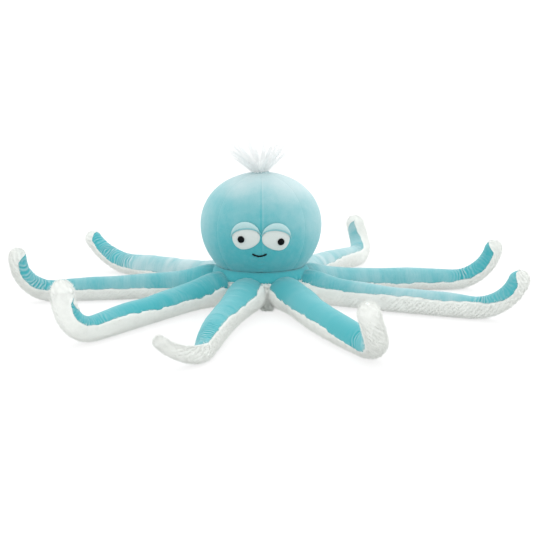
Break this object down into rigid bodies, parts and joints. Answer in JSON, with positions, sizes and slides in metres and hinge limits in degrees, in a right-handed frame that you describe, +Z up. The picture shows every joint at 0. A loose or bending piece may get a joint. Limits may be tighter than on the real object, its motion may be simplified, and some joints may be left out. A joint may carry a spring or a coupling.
{
  "type": "plush octopus",
  "caption": "Stuffed toy octopus with a round gored head, a hair tuft, felt eyes and plush arms with fur undersides that curl up at the tips; the head nods and the arms lift.",
  "frame": {"origin": "on the floor under the middle of the head, in the flat underside of the body", "axes": "+Z up; the face looks along -Y; +X to the right as seen from the front"},
  "size_m": [0.889, 0.8785, 0.2825],
  "materials": {
    "teal_velboa": "short-pile velboa with a soft sheen",
    "white_fur": "short curly fur",
    "long_hair": "long straight hair pile",
    "fibre_filling": "polyester fibre filling",
    "white_felt": "felt",
    "lid_satin": "satin cloth with a soft shine",
    "black_plastic": "glossy",
    "washer_plastic": "matte",
    "black_thread": "embroidery thread"
  },
  "bodies": {
    "body": {"body_top": "teal_velboa", "body_base": "white_fur", "body_stuffing": "fibre_filling"},
    "head": {"head_gore_1": "teal_velboa", "head_gore_2": "teal_velboa", "head_gore_3": "teal_velboa", "head_gore_4": "teal_velboa", "head_gore_5": "teal_velboa", "head_gore_6": "teal_velboa", "head_gore_7": "teal_velboa", "head_gore_8": "teal_velboa", "head_stuffing": "fibre_filling", "tuft": "long_hair", "eye_white_left": "white_felt", "eyelid_left": "lid_satin", "pupil_left": "black_plastic", "pupil_washer_left": "washer_plastic", "eye_white_right": "white_felt", "eyelid_right": "lid_satin", "pupil_right": "black_plastic", "pupil_washer_right": "washer_plastic", "mouth_stitch": "black_thread"},
    "arm_1": {"arm_1_top_panel": "teal_velboa", "arm_1_under_panel": "white_fur", "arm_1_stuffing": "fibre_filling"},
    "arm_2": {"arm_2_top_panel": "teal_velboa", "arm_2_under_panel": "white_fur", "arm_2_stuffing": "fibre_filling"},
    "arm_3": {"arm_3_top_panel": "teal_velboa", "arm_3_under_panel": "white_fur", "arm_3_stuffing": "fibre_filling"},
    "arm_4": {"arm_4_top_panel": "teal_velboa", "arm_4_under_panel": "white_fur", "arm_4_stuffing": "fibre_filling"},
    "arm_5": {"arm_5_top_panel": "teal_velboa", "arm_5_under_panel": "white_fur", "arm_5_stuffing": "fibre_filling"},
    "arm_6": {"arm_6_top_panel": "teal_velboa", "arm_6_under_panel": "white_fur", "arm_6_stuffing": "fibre_filling"},
    "arm_7": {"arm_7_top_panel": "teal_velboa", "arm_7_under_panel": "white_fur", "arm_7_stuffing": "fibre_filling"},
    "arm_8": {"arm_8_top_panel": "teal_velboa", "arm_8_under_panel": "white_fur", "arm_8_stuffing": "fibre_filling"}
  },
  "joints": [
    {"name": "head_nod", "type": "hinge", "parent": "body", "child": "head", "pos_m": [0, 0, 0.13748], "axis": [1, 0, 0], "range_deg": [-10, 12], "stiffness_Nm_per_rad": 1.5},
    {"name": "arm_1_lift", "type": "hinge", "parent": "body", "child": "arm_1", "pos_m": [0.04225, -0.07946, 0.024], "axis": [-0.8829, -0.4695, 0], "range_deg": [0, 50]},
    {"name": "arm_2_lift", "type": "hinge", "parent": "body", "child": "arm_2", "pos_m": [0.08402, -0.03225, 0.024], "axis": [-0.3584, -0.9336, 0], "range_deg": [0, 50]},
    {"name": "arm_3_lift", "type": "hinge", "parent": "body", "child": "arm_3", "pos_m": [0.08457, 0.03078, 0.024], "axis": [0.342, -0.9397, 0], "range_deg": [0, 50]},
    {"name": "arm_4_lift", "type": "hinge", "parent": "body", "child": "arm_4", "pos_m": [0.04363, 0.07872, 0.024], "axis": [0.8746, -0.4848, 0], "range_deg": [0, 50]},
    {"name": "arm_5_lift", "type": "hinge", "parent": "body", "child": "arm_5", "pos_m": [-0.06022, 0.06688, 0.024], "axis": [0.7431, 0.6691, 0], "range_deg": [0, 50]},
    {"name": "arm_6_lift", "type": "hinge", "parent": "body", "child": "arm_6", "pos_m": [-0.08933, 0.01097, 0.024], "axis": [0.1219, 0.9925, 0], "range_deg": [0, 50]},
    {"name": "arm_7_lift", "type": "hinge", "parent": "body", "child": "arm_7", "pos_m": [-0.07461, -0.05033, 0.024], "axis": [-0.5592, 0.829, 0], "range_deg": [0, 50]},
    {"name": "arm_8_lift", "type": "hinge", "parent": "body", "child": "arm_8", "pos_m": [-0.02329, -0.08693, 0.024], "axis": [-0.9659, 0.2588, 0], "range_deg": [0, 50]}
  ]
}
